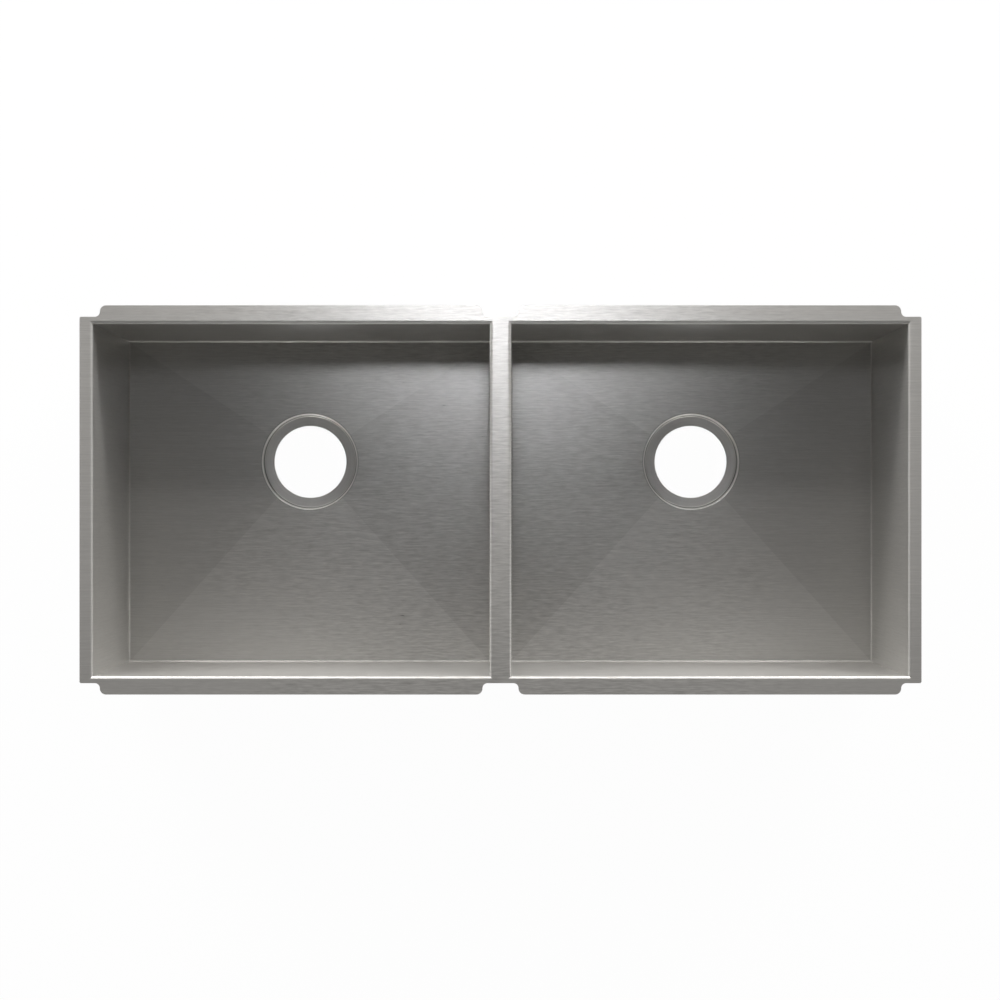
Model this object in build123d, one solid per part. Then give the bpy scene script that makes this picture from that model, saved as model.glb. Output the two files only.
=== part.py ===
"""Double bowl undermount kitchen sink, folded and welded from stainless steel sheet.

The frame has its origin at the centre of the rim's top face, which is the face that is glued and
clamped to the underside of a worktop. +X runs towards the right bowl, +Y to the back and +Z up.
Every size is in millimetres.

Each bowl is a wrap (front wall, floor and back wall folded from one sheet), closed by an end panel
on its outer side and by the divider, one folded saddle that both bowls share. The floor falls along
four creases to a drawn drain cup. The outside carries a sprayed undercoat and rubber sound pads.
"""

import math
import os

from build123d import *

# ---------------------------------------------------------------------------------------- sizes
# Sheet and bowls
sheet = 1.5  # thickness of every steel piece
bowl_width = 458.2  # inside, left to right
bowl_length = 406.4  # inside, front to back
bowl_depth = 254.0  # rim to the edge of the floor
divider_width = 25.0  # from one bowl's inner wall to the other's
rim_bend = 3.8  # radius of the rounded edge between the rim's top and a wall
floor_bend = 2.4  # inside radius between a wall and the floor
floor_fall = 1.2  # how far the creases fall from the floor's edge to the drain's axis

# Rim
side_flange = 15.15  # rim beyond the outer wall of a bowl
strip_overrun = 8.25  # how far the side strips run past the front and back walls
tab_reach = 13.15  # how far a front or back tab stands out from the strips
tab_inset = 8.3  # from a bowl's side wall to the end of its tab
notch_outer = 7.1  # radius of the tab's own corner in the step between strip and tab
notch_inner = 5.8  # radius of the corner where the step leaves the strip
notch_share = 0.98  # of the step's height, the most that its two corners may take together
corner_radius = 2.0  # outer corners of the side strips

# Drain
drain_back = 50.8  # drain axis behind the middle of the bowl
drain_hole_radius = 45.7
seat_width = 12.9  # ring that a strainer's flange rests on, out to the foot of the cup's wall
seat_fall = 0.6  # how far the seat falls from its outer edge to the hole, so that it drains
cup_wall_run = 1.0  # how far the cup's steep wall runs outwards as it rises
cup_depth = 9.0  # lip to the seat's outer edge
cup_lip = 2.3  # from the top of the wall to the cup's edge
seat_bend = 2.6  # radius between the seat and the wall, on the upper face
lip_bend = 2.1  # radius between the wall and the lip, on the upper face

# Undercoat and sound pads
coat = 0.8  # thickness of the sprayed undercoat
coat_top = 30.0  # below the rim, where the coat is masked off
coat_clear = 12.0  # bare ring round each drain cup
pad = 3.0  # thickness of a rubber pad
pad_top = 55.0  # below the rim, where the wall pads begin
pad_foot = 34.0  # from the floor up to the wall pads
pad_side = 58.0  # from a bowl's corner to a wall pad's edge
pad_corner = 8.0
floor_pad_margin = 42.0  # from a wall to the edge of the floor pad
floor_pad_clear = 20.0  # from the drain cup to the hole in the floor pad

# Tie plates, which close the gap between the bowls at the front and the back
tie_overlap = 24.0  # weld land on each bowl
tie_height = 44.0
tie_foot = 22.0  # from the floor up to the plate
tie_corner = 5.0

# ---------------------------------------------------------------------- places that follow from them
half_width = bowl_width / 2
half_length = bowl_length / 2
bowl_x = (divider_width + bowl_width) / 2
overall_width = divider_width + 2 * (bowl_width + side_flange)
overall_length = bowl_length + 2 * (strip_overrun + tab_reach)
reach = overall_width + overall_length + bowl_depth  # longer than anything here, for cutting
notch_shrink = min(1.0, notch_share * tab_reach / (notch_outer + notch_inner))
outer_radius = notch_outer * notch_shrink
inner_radius = notch_inner * notch_shrink
seat_turn = drain_hole_radius + seat_width
top_turn = seat_turn + cup_wall_run
cup_radius = top_turn + cup_lip

# The cup's lip is level with the lowest point of the floor on the cup's circle, which lies on the
# creases that run to the front corners.
front_crease = math.hypot(half_width - floor_bend, half_length - floor_bend + drain_back)
lip_z = -bowl_depth - floor_fall * (1 - cup_radius / front_crease)
bare_radius = cup_radius + coat_clear

same_place = 1e-3  # two coordinates nearer than this are one

sides = {"left": -1, "right": 1}


# ---------------------------------------------------------------------------------------- shapes
def bowl_section(half_span, grow):
    """Outline across a bowl, moved outwards by grow from its inside surface, as a face.

    A layer that is thicker than the rim's bend has nothing left of it, and begins below it.
    """
    wall = half_span + grow
    foot = half_span - floor_bend
    if grow < rim_bend:
        mouth = half_span + rim_bend
        top = [
            Line((0, -grow), (mouth, -grow)),
            CenterArc((mouth, -rim_bend), rim_bend - grow, 90, 90),
        ]
    else:
        top = [Line((0, -rim_bend), (wall, -rim_bend))]
    right_half = Curve() + [
        *top,
        Line((wall, -rim_bend), (wall, floor_bend - bowl_depth)),
        CenterArc((foot, floor_bend - bowl_depth), floor_bend + grow, 0, -90),
        Line((foot, -bowl_depth - grow), (0, -bowl_depth - grow)),
    ]
    return make_face(right_half + mirror(right_half, Plane.YZ))


def bowl_block(centre_x, grow):
    """A bowl as a solid block, from the rim down, with its creased floor."""
    across = extrude(Plane.XZ * bowl_section(half_width, grow), amount=reach, both=True)
    along = extrude(Plane.YZ * bowl_section(half_length, grow), amount=reach, both=True)
    floor_edge = Rectangle(bowl_width - 2 * floor_bend, bowl_length - 2 * floor_bend)
    floor_z = -bowl_depth - grow
    creases = loft(
        [(Pos(0, 0, floor_z) * floor_edge).face(), Vertex(0, drain_back, floor_z - floor_fall)],
        ruled=True,
    )
    return Pos(centre_x, 0, 0) * ((across & along) + creases)


def upright(points):
    """A prism through the whole height of the sink, from its outline seen from above."""
    return extrude(make_face(Polyline(*points, close=True)), amount=reach, both=True)


def cylinder_at(centre_x, radius):
    """An upright cylinder on a drain's axis, through the whole height of the sink."""
    return Pos(centre_x, drain_back, 0) * Cylinder(radius, 2 * reach)


def corners(sketch, wanted):
    """The corners of a sketch for which wanted(|x|, |y|) is true."""
    return [v for v in sketch.vertices() if wanted(abs(v.X), abs(v.Y))]


def rim_outline():
    """The rim seen from above: a rectangle of strips with a tab in front of and behind each bowl."""
    strip_edge = half_length + strip_overrun
    tab_edge = strip_edge + tab_reach
    outline = Rectangle(overall_width, 2 * strip_edge)
    for side in sides.values():
        outline += Pos(side * bowl_x, 0) * Rectangle(bowl_width - 2 * tab_inset, 2 * tab_edge)
    tab_corners = corners(outline, lambda x, y: abs(y - tab_edge) < same_place)
    outline = fillet(tab_corners, outer_radius)
    tab_feet = corners(
        outline,
        lambda x, y: abs(y - strip_edge) < same_place and x < overall_width / 2 - same_place,
    )
    outline = fillet(tab_feet, inner_radius)
    ends = corners(outline, lambda x, y: abs(x - overall_width / 2) < same_place)
    return fillet(ends, corner_radius)


def steel_shell():
    """All of the folded sheet in one piece, before it is parted along its seams."""
    shell = extrude(rim_outline(), amount=-sheet)
    for side in sides.values():
        shell += bowl_block(side * bowl_x, sheet)
    for side in sides.values():
        shell -= bowl_block(side * bowl_x, 0)
        shell -= cylinder_at(side * bowl_x, cup_radius)
    return shell


def end_region(side):
    """Plan of an end panel: mitred at the bowl's corners, and out to the foot of the floor bend."""
    foot = divider_width / 2 + bowl_width - floor_bend
    foot_y = half_length - floor_bend
    far = foot + side_flange * 2
    far_y = foot_y + side_flange * 2
    return upright(
        [(side * foot, foot_y), (side * far, far_y), (side * far, -far_y), (side * foot, -foot_y)]
    )


def divider_region():
    """Plan of the divider: the same mitres, which meet in points beyond the rim."""
    foot = divider_width / 2 + floor_bend
    foot_y = half_length - floor_bend
    point_y = half_length + divider_width / 2
    return upright(
        [
            (-foot, foot_y),
            (0, point_y),
            (foot, foot_y),
            (foot, -foot_y),
            (0, -point_y),
            (-foot, -foot_y),
        ]
    )


def drain_cup(centre_x):
    """Drawn ring with a sunken seat, turned about the drain's axis."""
    slope = math.atan2(cup_depth, cup_wall_run)
    under = sheet * math.tan(slope / 2)  # how far the lower face's corners lie outwards
    hole_z = -cup_depth - seat_fall
    outline = Polyline(
        (cup_radius, 0),
        (top_turn, 0),
        (seat_turn, -cup_depth),
        (drain_hole_radius, hole_z),
        (drain_hole_radius, hole_z - sheet),
        (seat_turn + under, -cup_depth - sheet),
        (top_turn + under, -sheet),
        (cup_radius, -sheet),
        close=True,
    )
    section = make_face(outline)
    for x, y, radius in (
        (top_turn, 0, lip_bend),
        (seat_turn, -cup_depth, seat_bend),
        (seat_turn + under, -cup_depth - sheet, seat_bend + sheet),
        (top_turn + under, -sheet, lip_bend - sheet),
    ):
        corner = section.vertices().sort_by_distance((x, y, 0))[0]
        section = fillet(corner, radius)
    return Pos(centre_x, drain_back, lip_z) * revolve(Plane.XZ * section, Axis.Z)


def tie_plate(facing):
    """Flat plate welded across both bowls' front walls, or back walls, low on the divider's gap."""
    face = Plane(
        origin=(0, facing * (half_length + sheet), -bowl_depth + tie_foot + tie_height / 2),
        x_dir=(1, 0, 0),
        z_dir=(0, facing, 0),
    )
    outline = RectangleRounded(divider_width + 2 * tie_overlap, tie_height, tie_corner)
    return extrude(face * outline, amount=sheet)


def undercoat(centre_x, ties):
    """Sprayed coat on the outside of a bowl, masked below the rim and round the drain cup."""
    skin = bowl_block(centre_x, sheet + coat) - bowl_block(centre_x, sheet)
    skin -= Pos(0, 0, reach / 2 - coat_top) * Box(2 * reach, 2 * reach, reach)
    skin -= cylinder_at(centre_x, bare_radius)
    for tie in ties:
        skin -= tie
    return skin


def wall_pad(centre_x, outward, wall_span):
    """Rubber pad on the undercoat of one wall. outward is the wall's direction, seen from the bowl."""
    out_x, out_y = outward
    half_span = half_width if out_x else half_length
    distance = half_span + sheet + coat
    middle_z = (-pad_top - bowl_depth + pad_foot) / 2
    face = Plane(
        origin=(centre_x + out_x * distance, out_y * distance, middle_z),
        x_dir=(abs(out_y), abs(out_x), 0),
        z_dir=(out_x, out_y, 0),
    )
    outline = RectangleRounded(
        wall_span - 2 * pad_side, bowl_depth - pad_top - pad_foot, pad_corner
    )
    return extrude(face * outline, amount=pad)


def floor_pad(centre_x):
    """Rubber pad under a bowl's floor, which follows its creases and leaves the drain cup free."""
    layer = bowl_block(centre_x, sheet + coat + pad) - bowl_block(centre_x, sheet + coat)
    outline = RectangleRounded(
        bowl_width - 2 * floor_pad_margin, bowl_length - 2 * floor_pad_margin, pad_corner
    )
    column = Pos(centre_x, 0, -bowl_depth) * extrude(outline, amount=bowl_depth / 2, both=True)
    return (layer & column) - cylinder_at(centre_x, cup_radius + floor_pad_clear)


# ---------------------------------------------------------------------------------------- pieces
def make_pieces():
    """Every separate piece of the sink, by name."""
    shell = steel_shell()
    pieces = {"divider_saddle": shell & divider_region()}
    ties = {"front_tie_plate": tie_plate(-1), "back_tie_plate": tie_plate(1)}
    pieces.update(ties)
    wraps = shell - divider_region()
    for name, side in sides.items():
        centre_x = side * bowl_x
        pieces[f"{name}_end_panel"] = wraps & end_region(side)
        own_half = Pos(side * reach / 2, 0, 0) * Box(reach, 2 * reach, 2 * reach)
        pieces[f"{name}_bowl_wrap"] = (wraps & own_half) - end_region(side)
        pieces[f"{name}_drain_cup"] = drain_cup(centre_x)
        pieces[f"{name}_undercoat"] = undercoat(centre_x, ties.values())
        pieces[f"{name}_front_pad"] = wall_pad(centre_x, (0, -1), bowl_width)
        pieces[f"{name}_back_pad"] = wall_pad(centre_x, (0, 1), bowl_width)
        pieces[f"{name}_end_pad"] = wall_pad(centre_x, (side, 0), bowl_length)
        pieces[f"{name}_divider_pad"] = wall_pad(centre_x, (-side, 0), bowl_length)
        pieces[f"{name}_floor_pad"] = floor_pad(centre_x)
    return pieces


os.makedirs("parts", exist_ok=True)
for piece_name, piece in make_pieces().items():
    export_step(piece, f"parts/{piece_name}.step")
print("overall", round(overall_width, 2), "x", round(overall_length, 2), "lip z", round(lip_z, 3))
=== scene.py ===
# %% [markdown]
# # A double bowl kitchen sink in brushed stainless steel
#
# The sink hangs under a worktop: two folded and welded bowls that share a narrow divider, with a
# flat rim that is clamped from below. The solids are finished already and come in as a frame that
# stays fixed, so this lesson is about surfaces: the brushed grain of the sheet, the turned drain
# cups, and what its owner seldom sees, the plates, the sprayed undercoat and the rubber pads.

# %% Load the frame
import math

import bpy
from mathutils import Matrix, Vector


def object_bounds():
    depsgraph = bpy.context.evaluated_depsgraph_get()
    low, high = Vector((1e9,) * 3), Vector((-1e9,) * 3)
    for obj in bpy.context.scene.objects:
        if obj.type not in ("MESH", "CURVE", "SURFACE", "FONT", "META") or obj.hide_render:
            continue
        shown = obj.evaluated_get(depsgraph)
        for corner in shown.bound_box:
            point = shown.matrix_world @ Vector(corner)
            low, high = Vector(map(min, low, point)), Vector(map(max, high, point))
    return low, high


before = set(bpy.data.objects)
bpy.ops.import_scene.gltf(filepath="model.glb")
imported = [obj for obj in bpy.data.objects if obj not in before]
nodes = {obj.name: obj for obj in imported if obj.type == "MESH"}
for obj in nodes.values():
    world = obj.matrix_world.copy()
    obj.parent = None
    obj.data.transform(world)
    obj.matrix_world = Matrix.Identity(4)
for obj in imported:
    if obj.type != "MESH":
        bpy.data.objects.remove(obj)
cad_low, cad_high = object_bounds()
print("pieces", len(nodes), "size", [round(v, 4) for v in cad_high - cad_low])

# %% [markdown]
# ## Camera
#
# The sink is seen straight from above, so its edges stay parallel and only the depth of the bowls
# shows perspective: their floors look nine tenths as large as their rims. That ratio fixes how far
# the camera stands, and the lens follows from how much of the picture the rim fills. The vanishing
# point lies a little below the middle of the picture. A shifted lens gives that without a tilt,
# which would make the sides lean.

# %% Camera
picture = 1000  # pixels along each side
metres_per_pixel = 0.001154  # on the rim
camera_height = 2.6
vanishing_x = 500.5  # pixels from the left
vanishing_y = 520.0  # pixels from the top
rim_middle_y = 499.95  # where the middle of the rim is seen

camera_data = bpy.data.cameras.new("camera")
camera_data.lens = camera_data.sensor_width * camera_height / (picture * metres_per_pixel)
camera_data.shift_x = (picture / 2 - vanishing_x) / picture
camera_data.shift_y = (vanishing_y - picture / 2) / picture
camera = bpy.data.objects.new("camera", camera_data)
camera.location = (0, (rim_middle_y - vanishing_y) * metres_per_pixel, camera_height)
bpy.context.scene.collection.objects.link(camera)
bpy.context.scene.camera = camera
print("lens", round(camera_data.lens, 1), "mm, camera at", [round(v, 4) for v in camera.location])

# %% [markdown]
# ## Sums for the shaders
#
# A finish is a sum of patterns: hair lines plus strokes plus smudges. Wiring each Math node by
# hand hides that sum, so a small class wraps a socket and lets Python write it. Numbers alone are
# worked out in Python, and colours go through Mix nodes, because a Math node turns a colour grey.


# %% Wire
class Wire:
    """One output socket. A sum with a number or another wire adds the Math node it needs."""

    def __init__(self, tree, socket):
        self.tree = tree
        self.socket = socket

    def node(self, kind, settings=None, inputs=None, output=0):
        """Adds a node: its settings first, then the values or wires of its sockets."""
        made = self.tree.nodes.new(kind)
        for name, value in (settings or {}).items():
            setattr(made, name, value)
        for name, value in (inputs or {}).items():
            if isinstance(value, Wire):
                self.tree.links.new(value.socket, made.inputs[name])
            else:
                made.inputs[name].default_value = value
        return Wire(self.tree, made.outputs[output] if made.outputs else None)

    def math(self, operation, *values, clamp=False):
        settings = {"operation": operation, "use_clamp": clamp}
        return self.node("ShaderNodeMath", settings, dict(enumerate(values)))

    def __add__(self, other):
        return self.math("ADD", self, other)

    def __sub__(self, other):
        return self.math("SUBTRACT", self, other)

    def __rsub__(self, other):
        return self.math("SUBTRACT", other, self)

    def __mul__(self, other):
        return self.math("MULTIPLY", self, other)

    def __pow__(self, other):
        return self.math("POWER", self, other)

    def __abs__(self):
        return self.math("ABSOLUTE", self)

    __radd__ = __add__
    __rmul__ = __mul__


def start(name):
    """A new material, and the wire every pattern on it begins with: the place on the sink."""
    material = bpy.data.materials.new(name)
    material.use_nodes = True
    material.node_tree.nodes.clear()
    seed = Wire(material.node_tree, None)
    return material, seed.node("ShaderNodeTexCoord", output="Object")


def coordinate(place, axis):
    """One number of a place or a direction: the one along "X", "Y" or "Z"."""
    return place.node("ShaderNodeSeparateXYZ", inputs={0: place}, output=axis)


def noise(place, size, detail=2.0, seed=0.0):
    """Cloudy noise around 0.5. size is the number of blobs per metre, or one number per axis."""
    sizes = size if isinstance(size, tuple) else (size,) * 3
    inputs = {0: place, 1: sizes, 2: (seed,) * 3}
    moved = place.node("ShaderNodeVectorMath", {"operation": "MULTIPLY_ADD"}, inputs)
    inputs = {"Vector": moved, "Scale": 1.0, "Detail": detail, "Roughness": 0.55}
    return place.node("ShaderNodeTexNoise", {"noise_dimensions": "3D"}, inputs)


def blend(share, first, second):
    """A colour between two colours, each a tuple or a wire."""
    sides = [c if isinstance(c, Wire) else (*c, 1) for c in (first, second)]
    settings = {"data_type": "RGBA"}
    return share.node("ShaderNodeMix", settings, {0: share, 6: sides[0], 7: sides[1]}, output=2)


def window(value, low, high):
    """0 below low and 1 above high, with a soft step between."""
    settings = {"interpolation_type": "SMOOTHSTEP"}
    inputs = {"Value": value, "From Min": low, "From Max": high}
    return value.node("ShaderNodeMapRange", settings, inputs)


def relief(height, metres, strength=1.0):
    """A bump in which a height of 1 stands this many metres proud."""
    inputs = {"Strength": strength, "Distance": metres, "Height": height}
    return height.node("ShaderNodeBump", inputs=inputs)


def finish(material, **inputs):
    """Ends a material with its surface. Underscores in the names stand for spaces."""
    first = next(v for v in inputs.values() if isinstance(v, Wire))
    sockets = {name.replace("_", " "): value for name, value in inputs.items()}
    surface = first.node("ShaderNodeBsdfPrincipled", inputs=sockets)
    surface.node("ShaderNodeOutputMaterial", inputs={"Surface": surface})
    print(material.name, "has", len(material.node_tree.nodes), "nodes")
    return material


# %% [markdown]
# ## Ground
#
# The sink lies on white, and the same white shows through its drain openings. More light would
# bleach the steel as well, so the ground's own material does it: rays from the camera and from
# reflections see plain white on most of it, and the rest is matte and keeps the sink's shadow.
# The Light Path node tells such rays from the rest, and the world asks it the same question later.


# %% Ground
white_share = 0.98  # of the ground, for the camera and for reflections
ground_half = 30.0  # metres from the middle to each side
ground_gap = 0.0002  # under the sink's lowest point


def seen_directly(wire):
    """1 for rays that start at the camera or leave a glossy or clear surface."""
    seen = wire.node("ShaderNodeLightPath", output="Is Camera Ray")
    for kind in ("Is Glossy Ray", "Is Transmission Ray"):
        seen = seen + wire.node("ShaderNodeLightPath", output=kind)
    return seen


def ground_material():
    material, place = start("ground")
    seen = seen_directly(place)
    lit = place.node("ShaderNodeBsdfDiffuse", inputs={"Color": (0.9, 0.9, 0.9, 1)})
    white = place.node("ShaderNodeEmission", inputs={"Color": (1, 1, 1, 1), "Strength": 1.0})
    share = seen.math("MULTIPLY", seen, white_share, clamp=True)
    mixed = place.node("ShaderNodeMixShader", inputs={0: share, 1: lit, 2: white})
    mixed.node("ShaderNodeOutputMaterial", inputs={"Surface": mixed})
    return material


def flat_square(name, half, height, material):
    mesh = bpy.data.meshes.new(name)
    corners = [(x * half, y * half, height) for x, y in ((-1, -1), (1, -1), (1, 1), (-1, 1))]
    mesh.from_pydata(corners, [], [(0, 1, 2, 3)])
    mesh.materials.append(material)
    square = bpy.data.objects.new(name, mesh)
    bpy.context.scene.collection.objects.link(square)
    return square


ground = flat_square("ground", ground_half, cad_low.z - ground_gap, ground_material())
print("ground at", round(ground.data.vertices[0].co.z, 4))


# %% [markdown]
# ## Light
#
# The shadows tell where the light stands. Each shadow that the back rim throws into a bowl starts
# as a crisp line and then fades slowly, so both lights are broad and have a straight upper edge.
# One hangs almost overhead: its shadow line lies close to the back wall, and its reflection is the
# bright patch on the divider. Grids keep its light off the end walls. The other is a wall of
# panels that stands behind the sink, and it draws the long slanting line on the end walls. Weak
# fills do the rest: a few almost overhead lift the floors, and three that stand low at the sides
# and in front catch the bends, which face half aside.


# %% Lamps
no_grid = 180  # degrees that a lamp opens without a grid in front of it
open_tint = (1.0, 0.978, 0.955)
grid_tint = (0.965, 0.973, 1.016)  # the light through a grid is a little cooler


def lamp(name, place, aim, size, watts, grid=no_grid):
    data = bpy.data.lights.new(name, "AREA")
    data.shape = "RECTANGLE"
    data.size, data.size_y = size
    data.energy = watts
    data.color = grid_tint if grid < no_grid else open_tint
    data.spread = math.radians(grid)
    made = bpy.data.objects.new(name, data)
    made.location = place
    made.rotation_euler = (Vector(aim) - Vector(place)).to_track_quat("-Z", "Y").to_euler()
    bpy.context.scene.collection.objects.link(made)
    return made


overhead_height = 2.0
overhead_width = 0.40
overhead_lean = 0.25  # how far in front of itself each lamp aims, on the rim
overhead_lamps = (
    # from and to behind the middle of the sink, watts, opening of the grid in degrees
    (0.41, 0.46, 0.015, 20),
    (0.46, 0.53, 0.033, 26),
    (0.53, 0.63, 0.020, 26),
)
for near, far, watts, grid in overhead_lamps:
    middle = (near + far) / 2
    place, aim = (0, middle, overhead_height), (0, middle - overhead_lean, 0)
    lamp(f"overhead_{near}", place, aim, (overhead_width, far - near), watts, grid)

panel_distance = 2.0
panels = (
    # from and to beside the middle, bottom and top above the rim, watts
    (-0.7, 0.7, 2.174, 2.597, 9.5),
    (0.7, 2.2, 2.174, 2.597, 17.5),
    (0.7, 2.2, 1.667, 2.174, 7.8),
    (0.7, 2.2, 1.176, 1.667, 19.9),
    (0.7, 2.2, 0.769, 1.176, 51.0),
    (0.7, 2.2, 0.400, 0.769, 17.0),
)
for near, far, bottom, top, watts in panels:
    for side in (1, -1) if near > 0 else (1,):
        aside, height = side * (near + far) / 2, (bottom + top) / 2
        place, aim = (aside, panel_distance, height), (aside, 0, height)
        lamp(f"panel_{height:.1f}_{aside:.1f}", place, aim, (far - near, top - bottom), watts)

fill_distance = 2.5
fills = (
    # degrees from straight above, degrees aside from straight behind, size in metres, watts
    (20, (0,), (1.4, 0.35), 0.40),
    (30, (0,), (1.4, 0.35), 1.6),
    (10, (-90, 90), (1.0, 0.5), 0.22),
    (20, (-90, 90), (1.0, 0.5), 0.08),
    (85, (-90, 90), (1.0, 0.3), 0.8),
    (85, (180,), (1.4, 0.3), 2.0),
)
for from_above, turns, size, watts in fills:
    for turn in turns:
        tilt, around = math.radians(from_above), math.radians(turn)
        level, height = fill_distance * math.sin(tilt), fill_distance * math.cos(tilt)
        place = (level * math.sin(around), level * math.cos(around), height)
        lamp(f"fill_{from_above}_{turn}", place, (0, 0, 0), size, watts)
all_watts = sum(data.energy for data in bpy.data.lights)
print("lamps", len(bpy.data.lights), "watts", round(all_watts, 1))

# %% [markdown]
# ## World
#
# All the light comes from the lamps, so the world itself is dark. Only a low band round the
# horizon is white, for the camera and for reflections, so that a view from the side has the same
# white behind the sink as the view from above.

# %% World
band_full, band_gone = 0.2, 0.3  # height of the direction: white below the first, dark above
world = bpy.data.worlds.new("studio")
world.use_nodes = True
world.node_tree.nodes.clear()
direction = Wire(world.node_tree, None).node("ShaderNodeTexCoord", output="Generated")
height = coordinate(direction, "Z")
band = (1 - window(height, band_full, band_gone)) * seen_directly(direction)
backdrop = direction.node("ShaderNodeBackground", inputs={"Color": (1, 1, 1, 1), "Strength": band})
backdrop.node("ShaderNodeOutputWorld", inputs={"Surface": backdrop})
bpy.context.scene.world = world
bpy.context.scene.view_settings.view_transform = "Standard"
print("world has", len(world.node_tree.nodes), "nodes")

# %% [markdown]
# ## Brushed sheet
#
# Sink sheet is drawn under an abrasive belt, which leaves hair lines along the sheet and, where
# the belt rocked, shorter and slightly wavy strokes. Both are noise that is stretched along the
# brushing: hundreds of blobs per metre across it and a few dozen along it. The lines change three
# things a little: how pale the steel is, how sharply it reflects, and which way it leans.
#
# The strokes' tone is made stronger about the middle of the sink and fades towards its ends: this
# is painted sheen, for the highlight that shows the strokes lies about the middle. Each bend loses
# its grain relief and is painted paler and a little less metallic: a painted highlight along the
# bend. A bend is where the surface faces half up and half aside, and its normal tells that. The
# side facets of the creased floors are painted a touch darker than the front and back ones:
# painted shade. They lean by a third of a degree, too little for light to show, so the tone does
# it.

# %% Sheet steel
steel_pale = (0.82, 0.812, 0.790)
steel_dark = (0.44, 0.435, 0.420)
# pale steel: the painted highlight on the bends, and the pale end of the cup's skimmed tone
pale_steel_and_highlight = (0.93, 0.92, 0.90)
metal_share = 0.65  # the rest scatters like the worn tops of the brush lines
sheet_roughness = 0.31
grain_depth = 0.00006  # metres
hair_blobs = (14, 880)  # per metre along the brushing, and how many more across it
stroke_blobs = (60, 420)
sway_blobs = 80.0  # per metre
sway_reach = 0.0018  # metres, across the brushing only
# the strokes' painted sheen: full near the middle, where the highlight lies, and gone at the ends
painted_sheen_fades = (0.12, 0.42)  # metres from the middle, where the strokes start and stop fading


def sway(place, size, reach):
    """The place, pushed about by up to reach metres, so that straight lines through it wander."""
    inputs = {"Vector": place, "Scale": size, "Detail": 1.0}
    push = place.node("ShaderNodeTexNoise", inputs=inputs, output="Color")
    inputs = {0: push, 1: (0.5,) * 3}
    centred = place.node("ShaderNodeVectorMath", {"operation": "SUBTRACT"}, inputs)
    inputs = {0: centred, 1: reach, 2: place}
    return place.node("ShaderNodeVectorMath", {"operation": "MULTIPLY_ADD"}, inputs)


def stretched(blobs, across):
    """Blobs per metre for each axis: few along the brushing and many across it."""
    along, more = blobs
    return tuple(along + more * a for a in across)


def side_facets(place):
    """1 where a surface leans to the left or right, as the side facets of a creased floor do."""
    facing = place.node("ShaderNodeNewGeometry", output="True Normal")
    return window(abs(coordinate(facing, "X")), 0.0015, 0.003)


# Where the painted highlight on the bends goes.
def painted_bend_highlight(place):
    """1 along the middle of each bend, where the surface faces half up and half aside."""
    up = coordinate(place.node("ShaderNodeNewGeometry", output="Normal"), "Z")
    return window(up, 0.30, 0.55) * (1 - window(up, 0.86, 0.97))


def brushed_sheet(name, across, painted_facet_shade=0.0):
    """across has 1 for each axis that crosses the brushing, and 0 for each axis along it."""
    material, place = start(name)
    loose = sway(place, sway_blobs, tuple(sway_reach * a for a in across))
    hair = noise(loose, stretched(hair_blobs, across), 2.0)
    stroke = noise(loose, stretched(stroke_blobs, across), 3.0, seed=17.0)
    # painted sheen: the strokes' tone is made stronger about the middle, where the highlight lies
    wander = (noise(place, 8.0, 2.0, seed=31.0) - 0.5) * 0.5
    painted_sheen = 1 - window(abs(coordinate(place, "X")) + wander, *painted_sheen_fades)
    smudge = noise(place, 7.0, 3.0, seed=5.0)
    bend_highlight = painted_bend_highlight(place)
    grain = (hair - 0.5) * 0.4 + (stroke - 0.5) * (painted_sheen * 0.9 + 0.25)
    tone = blend(grain * 1.1 + 0.5, steel_dark, steel_pale)
    # painted shade: the side facets of a creased floor are darkened
    if painted_facet_shade:
        tone = blend(side_facets(place) * painted_facet_shade, tone, (0, 0, 0))
    return finish(
        material,
        # painted highlight: each bend is blended towards pale steel
        Base_Color=blend(bend_highlight * 0.25, tone, pale_steel_and_highlight),
        Metallic=metal_share - bend_highlight * 0.1,
        Roughness=sheet_roughness + grain * 0.1 + (smudge - 0.5) * 0.04,
        Normal=relief(grain * (1 - bend_highlight), grain_depth),
    )


# %% [markdown]
# The front, floor and back of a bowl are one folded sheet, so the brushing runs left to right on
# all three. The end panels and the divider are folded from other sheets: their lines run left to
# right on the flat rim, and so up and down on the walls below it. Lines that cross only Y do both.

# %% Sheet finishes
# 0.085 is how much painted shade darkens the side facets of the floors
wrap_steel = brushed_sheet("wrap_steel", (0, 1, 1), painted_facet_shade=0.085)
panel_steel = brushed_sheet("panel_steel", (0, 1, 0))

# %% [markdown]
# ## Drain cups
#
# The sunken ring round a drain is drawn from a disc and skimmed in a lathe, which leaves rings
# about its axis. Rings need the distance from that axis. The two cups mirror each other, so the
# distance is measured from the mirrored place and one material serves both. The same distance
# places two fine dark lines of painted shade: at the seam round the top of the lip, and in the
# corner at the foot of the wall. The lip itself is painted pale like every other bend, a painted
# highlight.

# %% Cup finish
drain_aside = 0.2416  # metres from the middle of the sink
drain_behind = 0.0508
# two lines of painted shade, at the seam round the lip and in the corner at the foot of the wall
shade_line_radii = (0.0619, 0.0584)  # round the top of the lip and round the foot of its wall
shade_line_fades = (0.0002, 0.0008)  # metres from a groove's middle: dark within, gone beyond
ring_depth = 0.000005  # metres


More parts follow.
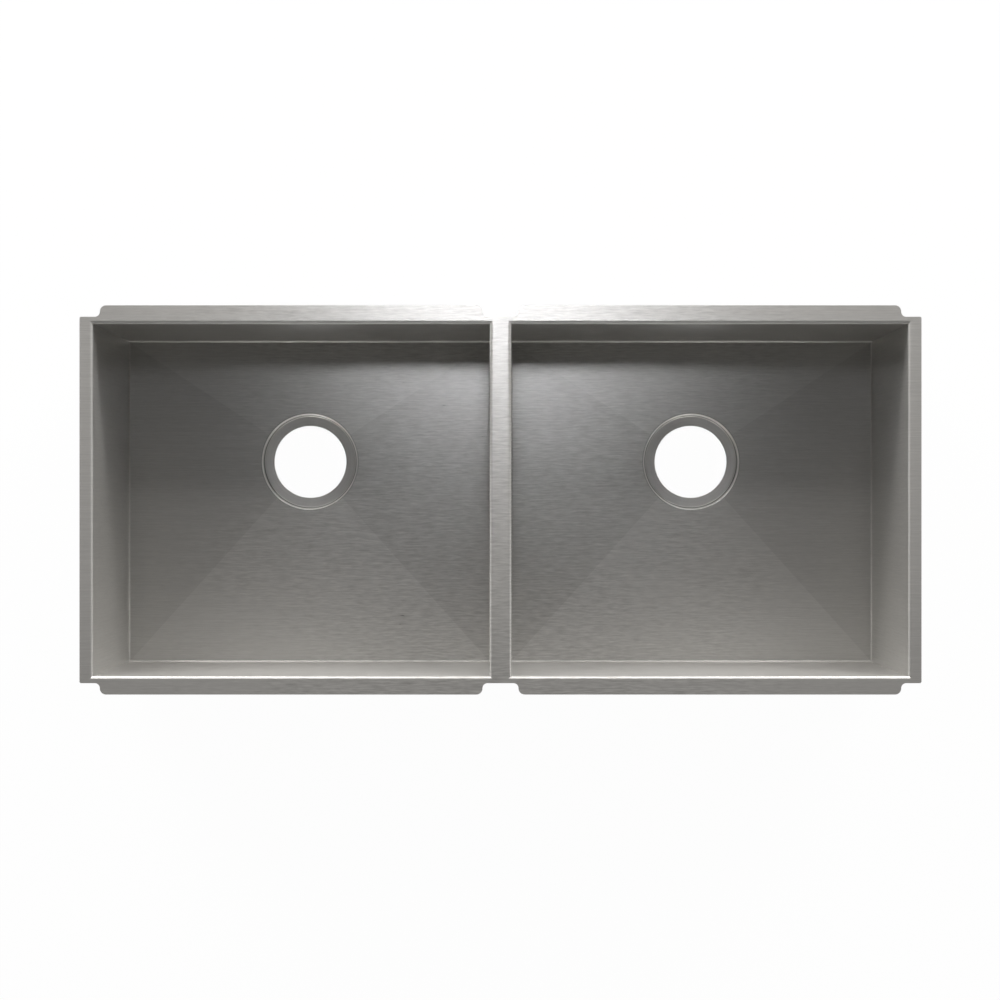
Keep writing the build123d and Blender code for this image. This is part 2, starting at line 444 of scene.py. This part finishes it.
def turned_steel(name):
    material, place = start(name)
    aside = abs(coordinate(place, "X")) - drain_aside
    back = coordinate(place, "Y") - drain_behind
    radius = (aside * aside + back * back) ** 0.5
    section = {0: radius, 1: coordinate(place, "Z"), 2: 0.0}
    rings = noise(place.node("ShaderNodeCombineXYZ", inputs=section), (1700.0, 1700.0, 1.0), 2.0)
    smudge = noise(place, 22.0, 3.0, seed=9.0)
    # painted shade: a fine dark line round the lip and another round the foot of its wall
    lip_shade_line, foot_shade_line = (1 - window(abs(radius - r), *shade_line_fades) for r in shade_line_radii)
    skimmed = blend(rings * 0.35 + smudge * 0.35 + 0.2, steel_dark, pale_steel_and_highlight)
    bend_highlight = painted_bend_highlight(place)
    # painted highlight: the lip and the other bends of the cup are painted pale
    lip_highlighted = blend(bend_highlight * 0.9, skimmed, pale_steel_and_highlight)
    return finish(
        material,
        # the painted shade lines, nearly black
        Base_Color=blend((lip_shade_line + foot_shade_line) * 0.65, lip_highlighted, (0.04, 0.04, 0.04)),
        Metallic=0.5 + bend_highlight * 0.3,
        Roughness=0.24 + rings * 0.06 + smudge * 0.08,
        Normal=relief(rings, ring_depth),
    )


cup_steel = turned_steel("cup_steel")

# %% [markdown]
# ## Tie plates
#
# The two plates between the bowls are never seen from above, so they are left as they came from
# the rolling mill: duller than the sheet, with faint rolling lines. They are spot welded along
# both ends, and each weld leaves a straw and blue stain. The stains are round windows that repeat
# along the plate's height, cut from the distance to a row of points.

# %% Plate finish
weld_aside = 0.0225  # from the middle of the divider
weld_pitch = 0.016
roll_depth = 0.0001  # metres


def rolled_plate(name):
    material, place = start(name)
    rolled = noise(place, (14.0, 300.0, 300.0), 3.0)
    mottle = noise(place, 60.0, 3.0, seed=3.0)
    aside = abs(coordinate(place, "X")) - weld_aside
    along = place.math("PINGPONG", coordinate(place, "Z"), weld_pitch / 2) - weld_pitch / 4
    away = (aside * aside + along * along) ** 0.5 + (mottle - 0.5) * 0.003
    stain = 1 - window(away, 0.0015, 0.0055)
    heart = 1 - window(away, 0.0005, 0.0025)
    bare = blend(rolled * 0.5 + mottle * 0.5, (0.40, 0.395, 0.385), (0.56, 0.555, 0.54))
    tinted = blend(stain * 0.7, bare, (0.42, 0.30, 0.17))
    welded = blend(heart * 0.8, tinted, (0.20, 0.22, 0.28))
    return finish(
        material,
        Base_Color=welded,
        Metallic=0.85,
        Roughness=0.42 + rolled * 0.16 + stain * 0.1,
        Normal=relief(mottle - heart, roll_depth),
    )


plate_steel = rolled_plate("plate_steel")

# %% [markdown]
# ## Undercoat
#
# The outside of each bowl is sprayed with a grey coat that stops drumming and keeps condensation
# off. It dries to a fine pebble, thicker where the passes of the spray gun overlap. The pebble is
# a bump from small round cells with a little noise, and the passes are a slow change of tone.

# %% Undercoat finish
coat_dark = (0.13, 0.13, 0.126)
coat_pale = (0.235, 0.235, 0.229)
pebble_depth = 0.0004  # metres


def sprayed_coat(name):
    material, place = start(name)
    inputs = {"Vector": place, "Scale": 620.0, "Smoothness": 0.6}
    crumbs = place.node("ShaderNodeTexVoronoi", {"feature": "SMOOTH_F1"}, inputs)
    grit = noise(place, 1500.0, 2.0, seed=2.0)
    passes = noise(place, (5.0, 5.0, 16.0), 2.0, seed=8.0)
    return finish(
        material,
        Base_Color=blend(passes * 0.6 + grit * 0.4, coat_dark, coat_pale),
        Roughness=0.72 + grit * 0.2,
        Normal=relief(grit * 0.5 - crumbs, pebble_depth, strength=0.7),
    )


undercoat = sprayed_coat("undercoat")

# %% [markdown]
# ## Sound pads
#
# Thick rubber pads are glued to the coat to deaden the ring of the sheet. They are cut from rolled
# slabs whose faces carry the weave of the cloth they were pressed on, with a bloom of pale dust
# and a few scuffs from handling. The weave is two sine waves that cross on each face.

# %% Pad finish
thread_radians = 2600.0  # per metre, so a thread every 2.4 mm
weave_depth = 0.0001  # metres


def pressed_rubber(name):
    material, place = start(name)
    threads = [place.math("SINE", coordinate(place, axis) * thread_radians) for axis in "XYZ"]
    weave = threads[0] + threads[1] + threads[2]
    bloom = noise(place, 18.0, 4.0, seed=4.0)
    scuffs = window(noise(place, (260.0, 24.0, 60.0), 3.0, seed=6.0), 0.62, 0.72)
    dusty = window(bloom, 0.35, 0.75)
    shade = blend(dusty, (0.030, 0.030, 0.031), (0.062, 0.061, 0.060))
    return finish(
        material,
        Base_Color=blend(scuffs * 0.35, shade, (0.16, 0.155, 0.15)),
        Roughness=0.66 + dusty * 0.2 + scuffs * 0.1,
        Normal=relief(weave * 0.3 + bloom, weave_depth, strength=0.6),
    )


pad_rubber = pressed_rubber("pad_rubber")

# %% [markdown]
# ## Dress the pieces
#
# Every piece keeps its own solid and takes the one finish that its name calls for.

# %% Dress the pieces
finishes = {
    "bowl_wrap": wrap_steel,
    "end_panel": panel_steel,
    "divider_saddle": panel_steel,
    "drain_cup": cup_steel,
    "tie_plate": plate_steel,
    "undercoat": undercoat,
    "pad": pad_rubber,
}
for name, piece in nodes.items():
    chosen = next(finishes[word] for word in finishes if name.endswith(word))
    piece.data.materials.clear()
    piece.data.materials.append(chosen)
    print(name, "wears", chosen.name)
